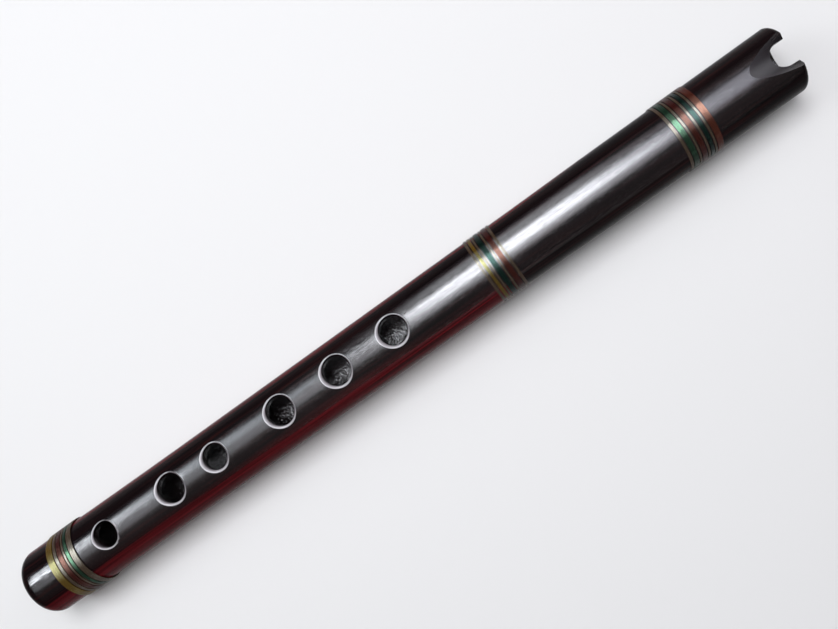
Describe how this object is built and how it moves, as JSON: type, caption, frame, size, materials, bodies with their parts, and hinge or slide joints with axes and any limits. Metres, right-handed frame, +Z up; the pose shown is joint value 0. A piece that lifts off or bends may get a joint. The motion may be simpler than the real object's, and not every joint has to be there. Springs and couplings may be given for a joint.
{
  "type": "quena",
  "caption": "Quena, an end-blown notched flute: a dark turned hardwood tube with round finger holes, a thumb hole behind, a U-shaped blowing notch and bands of coloured thread.",
  "frame": {"origin": "bottom centre of the flute as it lies on its bindings", "axes": "+X along the tube from the foot to the mouth end, +Z up through the finger holes"},
  "size_m": [0.3816, 0.0308, 0.0306],
  "materials": {
    "dark_rosewood": "polished and oiled to a soft gloss",
    "yellow_thread": "lacquered thread",
    "red_thread": "lacquered thread",
    "green_thread": "lacquered thread",
    "dark_green_thread": "lacquered thread",
    "copper_thread": "lacquered thread",
    "silver_thread": "lacquered metallic thread"
  },
  "bodies": {
    "root": {"body_tube": "dark_rosewood", "foot_binding_yellow": "yellow_thread", "foot_binding_silver_1": "silver_thread", "foot_binding_red": "red_thread", "foot_binding_silver_2": "silver_thread", "foot_binding_green": "green_thread", "foot_binding_silver_3": "silver_thread", "middle_binding_silver_1": "silver_thread", "middle_binding_yellow": "yellow_thread", "middle_binding_silver_2": "silver_thread", "middle_binding_dark_green": "dark_green_thread", "middle_binding_silver_3": "silver_thread", "middle_binding_red": "red_thread", "middle_binding_silver_4": "silver_thread", "mouth_binding_silver_1": "silver_thread", "mouth_binding_green": "green_thread", "mouth_binding_silver_2": "silver_thread", "mouth_binding_red": "red_thread", "mouth_binding_silver_3": "silver_thread", "mouth_binding_dark_green": "dark_green_thread", "mouth_binding_silver_4": "silver_thread", "mouth_binding_copper": "copper_thread"}
  },
  "joints": []
}
